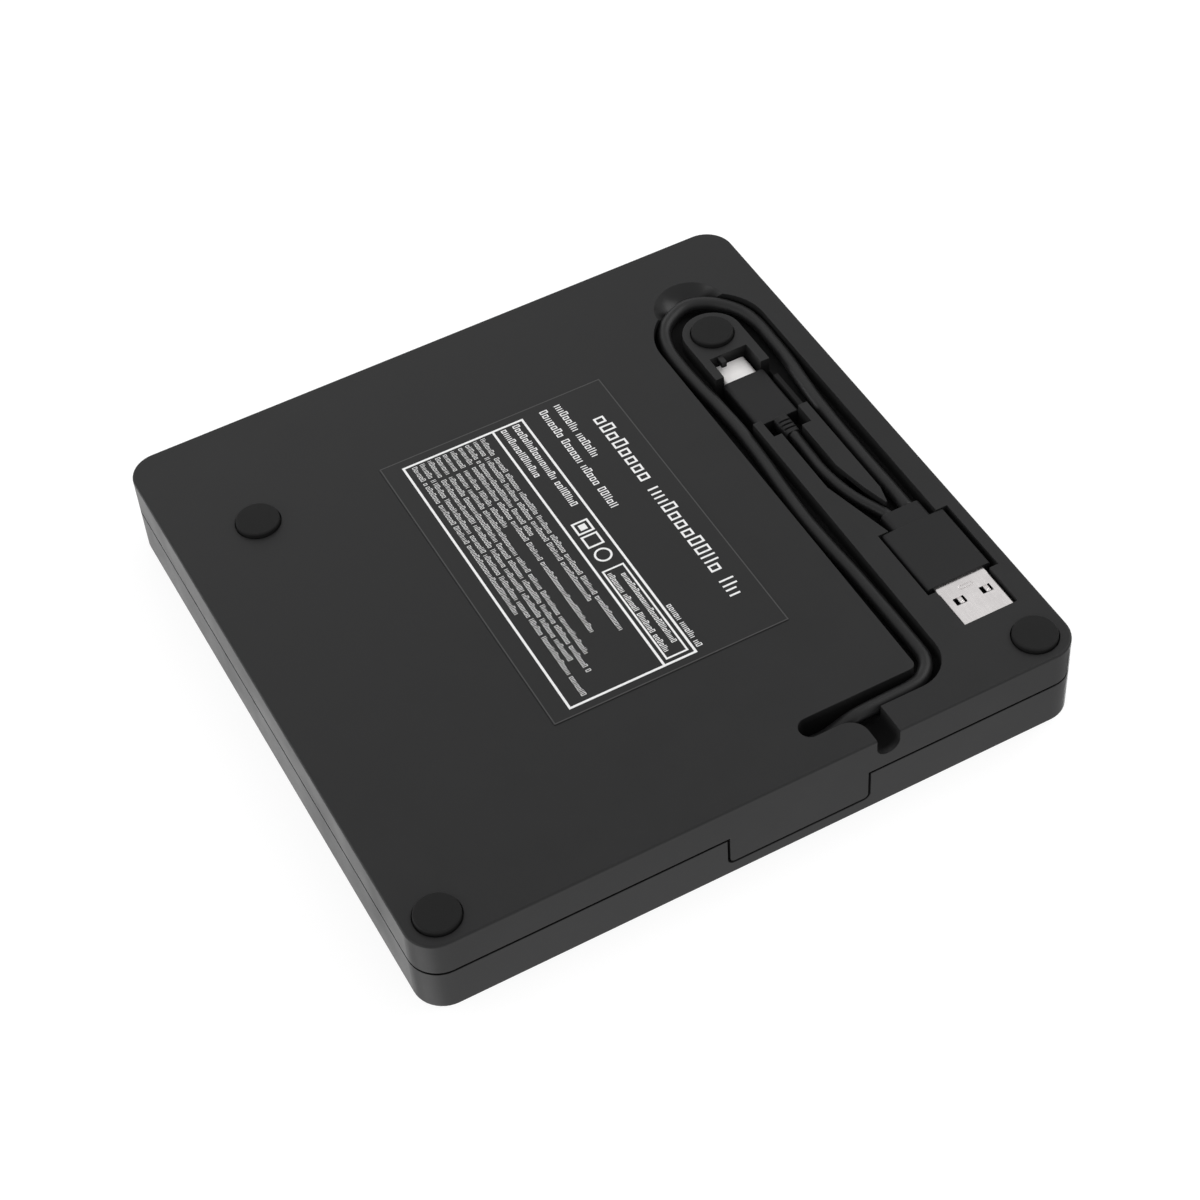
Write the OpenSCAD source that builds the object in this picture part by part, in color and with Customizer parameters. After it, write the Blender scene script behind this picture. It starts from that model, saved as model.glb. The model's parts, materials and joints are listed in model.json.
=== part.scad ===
// Slim external disc drive, standing on its feet, front towards -Y, lid up.
// The origin is the middle of the footprint on the plane that the feet stand on.

/* [Case] */
// Width of the case, left to right
case_w = 146; // [145.6:0.1:148]
// Depth of the case, front to rear
case_d = 145.5; // [145.5:0.1:147]
// Height from the feet to the lid
case_h = 20.6; // [20.6:0.1:22]
// Radius of the case's upright corners
corner_r = 6.5; // [5:0.5:8]
// Thickness of the case's side walls
wall = 1.7; // [1.6:0.1:1.8]
// Rounding of the case's rims
rim_r = 0.5; // [0.3:0.1:0.8]
// Height of the parting line above the feet
seam_z = 9.6; // [9.4:0.1:9.6]
// Width of the dark groove along the parting line
seam_gap = 0.6; // [0.2:0.05:0.7]

/* [Feet and label] */
// Height by which the feet stand proud of the underside
foot_proud = 1.0; // [0.8:0.1:1]
// Diameter of a foot
foot_d = 9.3; // [8.5:0.1:9.5]
// Width of the rating label
label_w = 53; // [40:1:60]
// Length of the rating label
label_l = 80.4; // [60:0.2:84]

/* [Cord recess] */
// Depth of the cord channel below the underside
channel_depth = 4; // [3.9:0.1:4.2]
// Width of the long cord channels
channel_w = 6.3; // [6.2:0.1:6.6]
// Width of the island that the cord loops around
island_w = 13.3; // [13:0.1:13.4]
// Diameter of the main cord
cord_d = 3.1; // [2.8:0.1:3.1]
// Diameter of the short lead between the two plugs
lead_d = 2.6; // [2.2:0.1:2.6]

/* [Drive] */
// Outer width of the drive's metal pan
pan_w = 128.2; // [128:0.1:128.4]
// Travel of the disc tray
tray_travel = 126; // [110:1:126]
// Radius of the disc well in the tray
well_r = 60.7; // [60.3:0.1:60.9]
// Travel of the pickup sled
sled_travel = 33; // [25:1:33]

/* [Hidden] */
$fn = 48;
eps = 0.01;
half_w = case_w / 2;
half_d = case_d / 2;
under_z = foot_proud;
floor_t = 1.6;
floor_z = under_z + floor_t;
lid_t = 1.8;
lid_z = case_h - lid_t;

// Lip behind the parting groove
lip_t = 0.75;
lip_h = 1.2;
lip_play = 0.1;

// Rear tab of the bottom cover that reaches up into the top cover
tab_x = [-7.7, 23.3];
tab_top = 17.2;
tab_r = 1;

// Recess in the underside: the channels run round an island that carries one foot
channel_top = under_z + channel_depth;
plug_top = under_z + 6.6;
tub_t = 1.2;
island_x = 54.6;
island_y = -42.4;
island_r = island_w / 2;
loop_r = island_r + channel_w;
left_x0 = island_x - loop_r;
left_x1 = island_x - island_r;
right_x0 = island_x + island_r;
right_x1 = island_x + loop_r;
cross_y0 = 60.75;
cross_y1 = 65.6;
cross_y = (cross_y0 + cross_y1) / 2;
bend_r = 8;
inner_bend_r = 1.5;
end_x = 15.85;
end_r = (cross_y1 - cross_y0) / 2;
exit_top = under_z + 7.1;
exit_x1 = 21.5;
ramp_x1 = 27;
scoop_y = -52.2;
scoop_r = 8.2;
scoop_depth = 4.2;
scoop_sphere_r = (scoop_r * scoop_r + scoop_depth * scoop_depth) / (2 * scoop_depth);
notch_x = 27.7;
notch_r = 2.6;
notch_z = 3.5;
notch_fillet = 4;

// Plugs where they lie in the recess
usb_a_x = 61.75;
usb_a_z = 4.1;
a_pocket_x = [53.5, 70.2];
a_pocket_y = [27.5, 46.4];
a_stub_x = [57.2, 66.6];
a_stub_y = 22.6;
a_body_y = [27.7, 45];
a_body_w = 15.1;
a_body_t = 5.8;
a_shell_w = 12;
a_shell_t = 4.5;
a_shell_y1 = 56.2;
a_shell_pocket_x = [55.4, 68.1];
a_shell_pocket_y1 = 56.6;
usb_c_x = 54.5;
usb_c_z = 5.1;
c_body_y = [-28.7, -13.9];
c_body_w = 10.2;
c_body_t = 4.6;
c_shell_w = 8.25;
c_shell_t = 2.4;
c_shell_y0 = -35.3;
c_neck_x = 54.9;
c_neck_y1 = -8.4;
c_pocket_x = [49.9, 59.1];
c_pocket_y = [-35.5, -8];
c_open_y = [-29.2, -13.5];
lead_x0 = 51.8;
lead_x1 = 56.8;

// Rectangles cut into the underside: [x0, x1, y0, y1, top of the cut]
recess_boxes = [
    [left_x0, left_x1, island_y, cross_y1 - bend_r, channel_top],
    [right_x0, right_x1, island_y, a_pocket_y[0], channel_top],
    [end_x, left_x1 - bend_r, cross_y0, cross_y1, channel_top],
    [end_x, exit_x1, cross_y0, cross_y1, exit_top],
    [c_pocket_x[0], c_pocket_x[1], c_pocket_y[0], c_open_y[0], under_z + 5.8],
    [left_x1 - eps, right_x0 + eps, c_open_y[0], c_open_y[1], plug_top],
    [c_pocket_x[0], c_pocket_x[1], c_open_y[1], c_pocket_y[1], under_z + 5.6],
    [lead_x0, lead_x1, c_pocket_y[1], 7, channel_top],
    [56, right_x1, 21, a_pocket_y[0], under_z + 5.8],
    [a_pocket_x[0], a_pocket_x[1], a_pocket_y[0], a_pocket_y[1], plug_top],
    [a_shell_pocket_x[0], a_shell_pocket_x[1], a_pocket_y[1], a_shell_pocket_y1, plug_top],
];
// Outline of the flare where the lead's channel runs into the plug pocket
flare = [[lead_x0, 6], [lead_x1, 6], [58.3, 14], [60, 20.2], [60.3, 20.2], [right_x0, 16],
    [right_x0 + 1, a_pocket_y[0]], [56, a_pocket_y[0]], [lead_x0, 10.5]];

front_foot_x = island_x;
front_foot_y = -42.5;
rear_foot_x = 65.8;
rear_foot_y = 66;

// Route of the main cord, from its exit to the large plug, and of the short lead
cord_route = [[16, 63.2, 6.3], [18.2, 63.2, 6.3], [20.5, 63.3, 5.7], [22.8, 63.4, 4.7], [25, 63.5, 3.8],
    [27.5, 63.5, 3.4], [33, 63.3, 3.4], [38.4, 63.1, 3.4], [41.4, 62.4, 3.4], [43.6, 60.8, 3.4],
    [44.9, 58.6, 3.4], [45.3, 56, 3.4], [45.3, 48, 3.4], [45.2, 40, 3.4], [45, 32, 3.4], [44.5, 23, 3.4],
    [44.3, 14, 3.4], [44.7, 5, 3.4], [45.3, -4, 3.4], [45.7, -14, 3.4], [45.4, -23, 3.4],
    [44.8, -31, 3.4], [44.5, -39, 3.4], [44.9, -45.5, 3.3], [46.8, -50.4, 3.1], [50.4, -53.2, 2.85],
    [54.7, -54.5, 2.7], [59, -53.2, 2.8], [62.4, -50.3, 3], [64.9, -46.5, 3.3], [65.9, -41.5, 3.4],
    [65.9, -36, 3.4], [65.7, -29, 3.4], [65, -22, 3.4], [64.4, -14.5, 3.4], [64.1, -7, 3.4],
    [64, 0, 3.4], [64, 8, 3.4], [64.1, 15, 3.4], [64.1, 22.6, 3.4]];
lead_route = [[54.9, -8.4, 3.5], [54.9, -5.5, 3.5], [54.7, -1, 3.4], [54.5, 4, 3.2],
    [54.9, 8.5, 3.1], [55.7, 12.5, 3.1], [56.8, 16, 3.1], [58.1, 19, 3.1], [59, 21.2, 3.1],
    [59.2, 22, 3.1], [59.2, 22.6, 3.1]];
tube_sides = 8;

// Metal pan of the drive and what slides in it
pan_x = pan_w / 2;
pan_y = [-70.5, 60.5];
pan_z = 9.3;
sheet_t = 0.5;
pan_wall_top = 18.1;
plate_z = 18.1;
rail_z = 13.5;
rail_x = 61.6;
rail_w = 2.8;
rail_h = 3.4;
rail_y = [-68, 46];
groove_d = 1;
groove_h = 1.6;
tongue_h = 1.2;
tongue_play = 0.2;
guide_y = [-69.5, 30];

tray_x = 59.8;
tray_y = [-70.85, 54.5];
tray_z = 10.5;
tray_top = 17.5;
tray_floor = 15.3;
tray_web = 1.3;
tray_skin = 1.6;
shield_t = 0.4;
bezel_x = 64.2;
bezel_z = [9.95, 18.65];
bezel_gap = 0.4;
button_x = 46;
button_w = 12;
button_z = 14.2;
button_h = 3.2;
button_play = 0.15;
light_x = 34;
light_w = 2.5;
light_h = 1.2;
pinhole_x = 28;

// Mechanism: everything lies about the spindle, and the sled moves along sled_angle
spindle = [0, -8];
sled_angle = 225;
deck_z = 11.2;
deck_t = 0.6;
deck_r = [-18, 66.7];
deck_half = 22;
cover_r = [-20, 72];
cover_half = 24;
cover_t = 0.45;
rod_z = 13.3;
rod_r = 1;
rod_off = 14;
rod_span = [14, 66.4];
screw_off = 18.5;
screw_r = 1.2;
screw_span = [15.5, 57.5];
journal_r = 0.8;
run_play = 0.05;
lens_r = 24;
sled_half = 7.5;
sled_z = [12, 14.6];
motor_span = [57.5, 65];
motor_r = 2;
rotor_r = 11.4;
turntable_r = 14.5;
disc_z = 16;
hub_r = 7.4;
hub_top = 17.7;
claw_w = 2;
damper_at = [[-13, -17], [-13, 17], [40, -18.6]];

pin_at = [50, 44];
latch_at = [45, 28];
latch_open = 12;

board_y = [61.5, 70];
board_z = 10.6;
board_x = [-52, 6];
socket_x = [-44, -14];

// ---- helpers ----

// A box given by its lowest and highest corners
module box(a, b) {
    translate(a) cube(b - a);
}

// A bar from a to b that lies along Y, seen as the rectangle x, z
module span(x, y, z) {
    box([x[0], y[0], z[0]], [x[1], y[1], z[1]]);
}

module rod(at, r, z0, z1) {
    translate([at[0], at[1], z0]) cylinder(r = r, h = z1 - z0);
}

module rounded_rect(w, d, r) {
    square([w - 2 * r, d], center = true);
    square([w, d - 2 * r], center = true);
    for (sx = [-1, 1], sy = [-1, 1])
        translate([sx * (w / 2 - r), sy * (d / 2 - r)]) circle(r);
}

module rounded_block(w, d, r, z0, z1) {
    translate([0, 0, z0]) linear_extrude(z1 - z0) rounded_rect(w, d, r);
}

// Half of a slab's section: the outer corners are rounded by low and high
module rim_profile(r, h, low, high) {
    translate([0, low]) square([r, h - low - high]);
    square([r - max(low, eps), h]);
    if (low > 0) translate([r - low, low]) circle(low);
    if (high > 0) translate([r - high, h - high]) circle(high);
}

// A slab with upright corners of radius r and rounded rims
module rimmed_slab(w, d, r, z0, z1, low, high) {
    h = z1 - z0;
    translate([0, 0, z0]) {
        for (sx = [-1, 1], sy = [-1, 1])
            translate([sx * (w / 2 - r), sy * (d / 2 - r), 0])
                rotate_extrude() rim_profile(r, h, low, high);
        for (s = [-1, 1]) {
            translate([s * (w / 2 - r), 0, 0]) rotate([90, 0, s > 0 ? 0 : 180])
                translate([0, 0, -(d / 2 - r)]) linear_extrude(d - 2 * r) rim_profile(r, h, low, high);
            translate([0, s * (d / 2 - r), 0]) rotate([90, 0, s > 0 ? 90 : -90])
                translate([0, 0, -(w / 2 - r)]) linear_extrude(w - 2 * r) rim_profile(r, h, low, high);
        }
        translate([0, 0, h / 2]) cube([w - 2 * r + eps, d - 2 * r + eps, h], center = true);
    }
}

// A box whose long edges along Y are rounded, given by its section's centre
module pill(x, z, w, t, r, y0, y1) {
    translate([x, y1, z]) rotate([90, 0, 0]) linear_extrude(y1 - y0) rounded_rect(w, t, r);
}

function unit(v) = v / norm(v);
function tangent(p, i) = unit(p[min(i + 1, len(p) - 1)] - p[max(i - 1, 0)]);
function ring(p, i, r) = let (t = tangent(p, i), n = unit(cross(t, [0, 0, 1])), b = cross(n, t))
    [for (k = [0 : tube_sides - 1]) let (a = 360 * (k + 0.5) / tube_sides)
        p[i] + r * (cos(a) * n + sin(a) * b)];

// A tube swept along a route of points
module tube(p, d) {
    n = len(p);
    s = tube_sides;
    walls = [for (i = [0 : n - 2], k = [0 : s - 1])
        [i * s + k, (i + 1) * s + k, (i + 1) * s + (k + 1) % s, i * s + (k + 1) % s]];
    polyhedron([for (i = [0 : n - 1]) each ring(p, i, d / 2)],
        concat([[for (k = [0 : s - 1]) k]], walls, [[for (k = [s - 1 : -1 : 0]) (n - 1) * s + k]]));
}

// Places a piece in the mechanism's own frame, with +X along the sled's travel
module mechanism() {
    translate([spindle[0], spindle[1], 0]) rotate([0, 0, sled_angle]) children();
}

// A cylinder along the sled's travel, at an offset to the side
module along_sled(r, off, z, span) {
    translate([span[0], off, z]) rotate([0, 90, 0]) cylinder(r = r, h = span[1] - span[0]);
}

// The inside of the tray's skirt, which bounds every piece of the mechanism
module inside_skirt(play, z0, z1) {
    box([-tray_x + tray_skin + play, tray_y[0] + tray_skin + play, z0],
        [tray_x - tray_skin - play, tray_y[1] - tray_skin - play, z1]);
}

module mechanism_outline(r, half, corner, z0, z1) {
    translate([(r[0] + r[1]) / 2, 0, 0]) rounded_block(r[1] - r[0], 2 * half, corner, z0, z1);
}

// ---- case ----

// The channels, pockets and scoop, each grown sideways by g and deeper by t
module recess(g, t) {
    for (b = recess_boxes)
        box([b[0] - g, b[2] - g, under_z - eps], [b[1] + g, b[3] + g, b[4] + t]);
    rod([end_x, cross_y], end_r + g, under_z - eps, exit_top + t);
    translate([0, 0, under_z - eps]) linear_extrude(channel_depth + t + eps) polygon(flare);
    difference() {
        union() {
            rod([island_x, island_y], loop_r + g, under_z - eps, channel_top + t);
            translate([island_x, scoop_y, under_z + scoop_depth - scoop_sphere_r])
                sphere(r = scoop_sphere_r + g);
        }
        rod([island_x, island_y], island_r - g, under_z - 20, channel_top + t + 2);
        box([island_x - island_r + g, island_y, under_z - 1],
            [island_x + island_r - g, island_y + loop_r + g + 1, channel_top + t + 1]);
    }
    intersection() {
        rod([left_x1 - bend_r, cross_y1 - bend_r], bend_r + g, under_z - eps, channel_top + t);
        box([left_x1 - bend_r, cross_y1 - bend_r, under_z - eps],
            [left_x1 + g, cross_y1 + g, channel_top + t]);
    }
    box([left_x0 - g, cross_y0 - inner_bend_r, under_z - eps],
        [left_x0 + g + eps, cross_y0 + g, channel_top + t]);
}

// The rounded inner corner of the cord's bend, which stays solid
module inner_bend() {
    x0 = left_x0 - inner_bend_r;
    y0 = cross_y0 - inner_bend_r;
    x = left_x1 - bend_r - 1;
    y = cross_y1 - bend_r - 1;
    rod([x0, y0], inner_bend_r, under_z - 1, channel_top + tub_t);
    box([x, y, under_z - 1], [left_x0, y0, channel_top + tub_t]);
    box([x, y, under_z - 1], [x0, cross_y0, channel_top + tub_t]);
}

// The notch that lets the cord out through the rear wall, with a rounded flare on its left
module notch(g) {
    z = notch_z;
    box([notch_x - notch_r - g, cross_y1 - 1, under_z - eps], [notch_x + notch_r + g, half_d + 1, z]);
    translate([notch_x, half_d + 1, z]) rotate([90, 0, 0])
        cylinder(r = notch_r + g, h = half_d + 2 - cross_y1);
    difference() {
        box([notch_x - notch_r - notch_fillet, cross_y1 - eps, under_z - eps],
            [notch_x, cross_y1 + notch_fillet, channel_top + g]);
        rod([notch_x - notch_r - notch_fillet, cross_y1 + notch_fillet], notch_fillet,
            under_z - 1, channel_top + g + 1);
    }
}

module foot_at(sx, y, x) {
    translate([sx * x, y, 0]) children();
}

module all_foot_places() {
    for (s = [-1, 1]) {
        foot_at(s, front_foot_y, front_foot_x) children();
        foot_at(s, rear_foot_y, rear_foot_x) children();
    }
}

module bottom_cover() {
    post_top = pan_z;
    color([0.2, 0.2, 0.2]) difference() {
        union() {
            difference() {
                rimmed_slab(case_w, case_d, corner_r, under_z, seam_z, rim_r, 0);
                rounded_block(case_w - 2 * wall, case_d - 2 * wall, corner_r - wall, floor_z, seam_z + 1);
            }
            // Lip behind the groove, open at the front for the tray
            difference() {
                rounded_block(case_w - 2 * (wall - lip_t), case_d - 2 * (wall - lip_t),
                    corner_r - wall + lip_t, floor_z, seam_z + lip_h);
                rounded_block(case_w - 2 * wall, case_d - 2 * wall, corner_r - wall,
                    floor_z - 1, seam_z + lip_h + 1);
                box([-bezel_x - 1, -half_d - 1, seam_z], [bezel_x + 1, -half_d + 10, seam_z + lip_h + 1]);
            }
            // Rear tab
            translate([0, half_d, 0]) rotate([90, 0, 0]) linear_extrude(wall)
                translate([(tab_x[0] + tab_x[1]) / 2, (floor_z + tab_top) / 2])
                    rounded_rect(tab_x[1] - tab_x[0], tab_top - floor_z, tab_r);
            // Walls and roof of the recess, kept inside the outer walls
            intersection() {
                union() {
                    recess(tub_t, tub_t);
                    notch(tub_t);
                    span([exit_x1, ramp_x1 + 2], [cross_y0 - tub_t, cross_y1 + tub_t], [floor_z, pan_z]);
                }
                rounded_block(case_w - wall, case_d - wall, corner_r - wall / 2, floor_z - eps, pan_z - 0.4);
            }
            // Posts that carry the drive, pads over the feet and bosses for the screws
            for (x = [-58, 36], y = [-62, 48]) rod([x, y], 2.6, floor_z - eps, post_top);
            all_foot_places() cylinder(r = foot_d / 2 + 1.2, h = 4 - 1.5 + under_z - eps);
            for (s = [-1, 1]) foot_at(s, rear_foot_y, rear_foot_x)
                translate([0, 0, floor_z - eps]) cylinder(r = 3.4, h = 12 - floor_z);
            for (x = [-48, -2]) rod([x, 66], 2, floor_z - eps, board_z);
        }
        difference() {
            recess(0, 0);
            inner_bend();
        }
        notch(0);
        // Ramp from the deep exit up to the channel, and the grommet's way through its end
        translate([0, cross_y1, 0]) rotate([90, 0, 0]) linear_extrude(cross_y1 - cross_y0)
            polygon([[exit_x1 - 1, 4], [exit_x1 - 1, exit_top], [exit_x1, exit_top],
                [ramp_x1, channel_top - eps], [ramp_x1, 4]]);
        box([11, cross_y - 1.8, 4.5], [end_x - 1, cross_y + 1.8, exit_top]);
        // Hollow behind the island's foot
        rod([island_x, island_y], island_r - 1.6, 4, channel_top + tub_t + 1);
        all_foot_places() translate([0, 0, -eps]) cylinder(d = foot_d + 0.5, h = under_z + 1 + eps);
        // Clear everything under the feet of the pads
        translate([0, 0, -1]) linear_extrude(under_z + 1) square([case_w + 2, case_d + 2], center = true);
        for (s = [-1, 1]) foot_at(s, rear_foot_y, rear_foot_x) {
            cylinder(r = 2.4, h = 4.2);
            cylinder(r = 1.3, h = 13);
        }
    }
    // Low rib that keeps the small plug in place, and the finger that holds its shell down
    color([0.2, 0.2, 0.2]) {
        span([60.1, right_x0 - 0.1], [-25.5, c_open_y[1] + eps], [2.5, plug_top + eps]);
        span([c_pocket_x[0] + 1.9, c_pocket_x[0] + 3.1], [c_pocket_y[0] - eps, c_pocket_y[0] + 2.1], [1.3, 2.8]);
    }
}

module top_cover() {
    inner = wall - lip_t - lip_play;
    color([0.2, 0.2, 0.2]) difference() {
        union() {
            difference() {
                rimmed_slab(case_w, case_d, corner_r, seam_z + seam_gap, case_h, 0, rim_r);
                rounded_block(case_w - 2 * wall, case_d - 2 * wall, corner_r - wall, seam_z - 1, lid_z);
                // Rebate for the bottom cover's lip
                rounded_block(case_w - 2 * inner, case_d - 2 * inner, corner_r - inner,
                    seam_z - 1, seam_z + lip_h + 0.2);
            }
            // Flange behind the rear tab, and posts for the two screws
            difference() {
                span([tab_x[0] - 1.8, tab_x[1] + 1.8], [70, half_d - wall - 0.1], [11.5, lid_z + eps]);
                span([tab_x[0] + 3, tab_x[1] - 3], [69, half_d], [11, 15]);
            }
            for (s = [-1, 1]) rod([s * rear_foot_x, rear_foot_y], 3, 12.1, lid_z + eps);
            // Pads that hold the drive down
            for (x = [-50, 50], y = [-55, 45]) rod([x, y], 4, plate_z + sheet_t, lid_z + eps);
        }
        // Cut-out for the rear tab
        translate([0, half_d + 1, 0]) rotate([90, 0, 0]) linear_extrude(wall + 1.05)
            translate([(tab_x[0] + tab_x[1]) / 2, (tab_top + seam_gap) / 2])
                rounded_rect(tab_x[1] - tab_x[0] + 2 * seam_gap, tab_top + seam_gap, tab_r + seam_gap);
        // Mouth for the tray
        box([-bezel_x - bezel_gap, -half_d - 1, seam_z - 1],
            [bezel_x + bezel_gap, -half_d + wall + 1, bezel_z[1] + bezel_gap / 2 - 0.05]);
        for (s = [-1, 1]) rod([s * rear_foot_x, rear_foot_y], 1.25, 12, 17.6);
    }
}

module foot() {
    r = foot_d / 2;
    soft = 0.4;
    color([0.13, 0.13, 0.13]) rotate_extrude() {
        translate([0, soft]) square([r, under_z + 1 - soft]);
        square([r - soft, under_z + 1]);
        translate([r - soft, soft]) circle(soft);
    }
}

module foot_front_left() foot_at(-1, front_foot_y, front_foot_x) foot();
module foot_front_right() foot_at(1, front_foot_y, front_foot_x) foot();
module foot_rear_left() foot_at(-1, rear_foot_y, rear_foot_x) foot();
module foot_rear_right() foot_at(1, rear_foot_y, rear_foot_x) foot();

module rating_label() {
    color([0.22, 0.22, 0.22]) translate([0, -2.65, 0])
        rounded_block(label_w, label_l, 0.4, under_z - 0.12, under_z);
}

module case_screws() {
    color([0.6, 0.6, 0.62]) for (s = [-1, 1]) foot_at(s, rear_foot_y, rear_foot_x) difference() {
        union() {
            translate([0, 0, 2.5]) cylinder(r = 2.2, h = 1.7);
            translate([0, 0, 4.2]) cylinder(r = 1.2, h = 13);
        }
        for (a = [0, 90]) rotate([0, 0, a]) translate([0, 0, 2.8]) cube([2.6, 0.5, 0.9], center = true);
    }
}

// ---- cord and plugs ----

module cord_grommet() {
    z = cord_route[0][2];
    color([0.1, 0.1, 0.1]) {
        span([11, 12.1], [cross_y - 2.8, cross_y + 2.8], [z - 2.6, z + 2.5]);
        span([12.1 - eps, 13.6], [cross_y - 1.75, cross_y + 1.75], [z - 1.75, z + 1.75]);
        translate([13.6 - eps, cross_y, z]) rotate([0, 90, 0]) cylinder(r1 = 1.75, r2 = 1.65, h = 2.4 + eps);
    }
}

// Four wires from the cord's end up to the board
module cord_wires() {
    z = cord_route[0][2];
    color([0.75, 0.1, 0.1]) for (i = [0 : 3]) {
        y = cross_y - 1.3 + 0.9 * i;
        x = 4.2 - 0.9 * (i % 2);
        translate([x, y, z]) {
            rotate([0, 90, 0]) cylinder(r = 0.35, h = 11 - x, $fn = 16);
            cylinder(r = 0.35, h = board_z - z, $fn = 16);
            sphere(r = 0.35, $fn = 16);
        }
    }
}

module usb_cord() color([0.16, 0.16, 0.16]) tube(cord_route, cord_d);
module short_lead() color([0.16, 0.16, 0.16]) tube(lead_route, lead_d);

module usb_a_overmould() {
    z = usb_a_z;
    stub_w = a_stub_x[1] - a_stub_x[0];
    color([0.14, 0.14, 0.14]) {
        pill(usb_a_x, z, a_body_w, a_body_t, 0.8, a_body_y[0], a_body_y[1]);
        pill((a_stub_x[0] + a_stub_x[1]) / 2, z - 0.2, stub_w, 4.6, 1.2, a_stub_y, a_body_y[0] + eps);
    }
}

module usb_a_shell() {
    z = usb_a_z - 0.1;
    skin = 0.3;
    hole_y = 50.2;
    color([0.85, 0.85, 0.85]) difference() {
        pill(usb_a_x, z, a_shell_w, a_shell_t, 0.5, a_body_y[1], a_shell_y1);
        pill(usb_a_x, z, a_shell_w - 2 * skin, a_shell_t - 2 * skin, 0.3, a_body_y[1] - 1, a_shell_y1 + 1);
        for (s = [-1, 1]) translate([usb_a_x + s * 3.1, hole_y, z]) cube([2.5, 1.9, 10], center = true);
        // Pressed oval near the overmould
        translate([usb_a_x + 0.1, 47.4, z - a_shell_t / 2 - 1]) linear_extrude(1.12) difference() {
            pressed_oval(0.55);
            pressed_oval(0.3);
        }
    }
    // Contact springs behind the two windows
    color([0.85, 0.85, 0.85]) for (s = [-1, 1]) translate([usb_a_x + s * 3.1, hole_y, z - a_shell_t / 2]) {
        span([-0.15, 0.85], [-1.6, 0.6], [skin - eps, skin + 0.25]);
        translate([0.4, 0.15, skin + 0.1]) sphere(r = 0.35);
    }
}

module pressed_oval(r) {
    square([2.3, 2 * r], center = true);
    for (s = [-1, 1]) translate([s * 1.15, 0]) circle(r);
}

module usb_a_tongue() {
    z = usb_a_z - 0.1;
    color([0.12, 0.12, 0.12]) pill(usb_a_x, z + 0.95, 11.2, 1.9, 0.1, a_body_y[1], a_shell_y1 - 0.4);
}

module usb_c_overmould() {
    color([0.14, 0.14, 0.14]) {
        pill(usb_c_x, usb_c_z, c_body_w, c_body_t, 1, c_body_y[0], c_body_y[1]);
        difference() {
            pill(c_neck_x, 4, 3.5, 3.6, 1.2, c_body_y[1] - eps, c_neck_y1);
            for (i = [0 : 2])
                span([c_neck_x - 3, c_neck_x + 3], [-9.9 - 1.2 * i, -9.4 - 1.2 * i], [0, 2.7]);
        }
    }
}

module usb_c_shell() {
    skin = 0.3;
    r = c_shell_t / 2 - 0.01;
    color([0.85, 0.85, 0.85]) difference() {
        pill(usb_c_x, usb_c_z, c_shell_w, c_shell_t, r, c_shell_y0, c_body_y[0]);
        pill(usb_c_x, usb_c_z, c_shell_w - 2 * skin, c_shell_t - 2 * skin, r - skin,
            c_shell_y0 - 1, c_body_y[0] - 1.5);
    }
}

// ---- bridge board behind the drive ----

module bridge_board() {
    color([0.1, 0.35, 0.2]) span(board_x, board_y, [board_z, board_z + 0.8]);
}

module bridge_chip() color([0.1, 0.1, 0.1]) span([-8, -3], [63, 68], [board_z + 0.8, board_z + 1.7]);
module bridge_crystal() color([0.8, 0.8, 0.8])
    translate([-11, 65.5, 0]) rounded_block(3.2, 2.5, 0.4, board_z + 0.8, board_z + 1.6);

module bridge_sata_plug() {
    color([0.1, 0.1, 0.1]) difference() {
        span(socket_x, [pan_y[1], pan_y[1] + 4.5], [board_z + 0.8, board_z + 5.2]);
        span([socket_x[0] + 3, socket_x[1] - 3], [pan_y[1] + 3.5, pan_y[1] + 5],
            [board_z + 2, board_z + 4]);
    }
}

// ---- fixed part of the drive ----

module drive_pan() {
    color([0.7, 0.7, 0.72]) difference() {
        box([-pan_x, pan_y[0], pan_z], [pan_x, pan_y[1], pan_wall_top]);
        box([-pan_x + sheet_t, pan_y[0] - 1, pan_z + sheet_t],
            [pan_x - sheet_t, pan_y[1] - sheet_t, pan_wall_top + 1]);
        // Cut-out for the connector, and slots in the floor
        span(socket_x, [pan_y[1] - 1, pan_y[1] + 1], [board_z + 1, board_z + 5]);
        for (x = [-44 : 16 : 36], y = [-48, 4]) if (x != pin_at[0])
            translate([x, y, 0]) rounded_block(3, 26, 1.4, pan_z - 1, pan_z + 1);
    }
}

module drive_top_plate() {
    color([0.7, 0.7, 0.72]) box([-pan_x, pan_y[0], plate_z], [pan_x, pan_y[1], plate_z + sheet_t]);
}

module drive_sata_socket() {
    color([0.1, 0.1, 0.1]) span(socket_x, [56, pan_y[1]], [board_z + 1, board_z + 5]);
}

module rear_flex_board() {
    color([0.1, 0.35, 0.2]) span([-48, -2], [55.2, 59.6], [board_z + 0.4, board_z + 1]);
}

// Ribbon from the rear board forward under the tray
module tray_flex_cable() {
    color([0.6, 0.4, 0.15]) {
        span([-12, 8], [-6, 56], [pan_z + sheet_t, pan_z + sheet_t + 0.12]);
        span([-12, 8], [55.8, 56], [pan_z + sheet_t, board_z + 0.4]);
    }
}

// Guide and rail on one side; s is 1 on the right and -1 on the left
module rail_guide(s) {
    h = tongue_h / 2;
    x1 = rail_x + rail_w / 2;
    scale([s, 1, 1]) color([0.25, 0.25, 0.27]) {
        span([x1 + tongue_play, pan_x - sheet_t], guide_y, [11.6, 15.4]);
        span([x1 - groove_d + tongue_play, x1 + tongue_play + eps], guide_y, [rail_z - h, rail_z + h]);
    }
}

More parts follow.
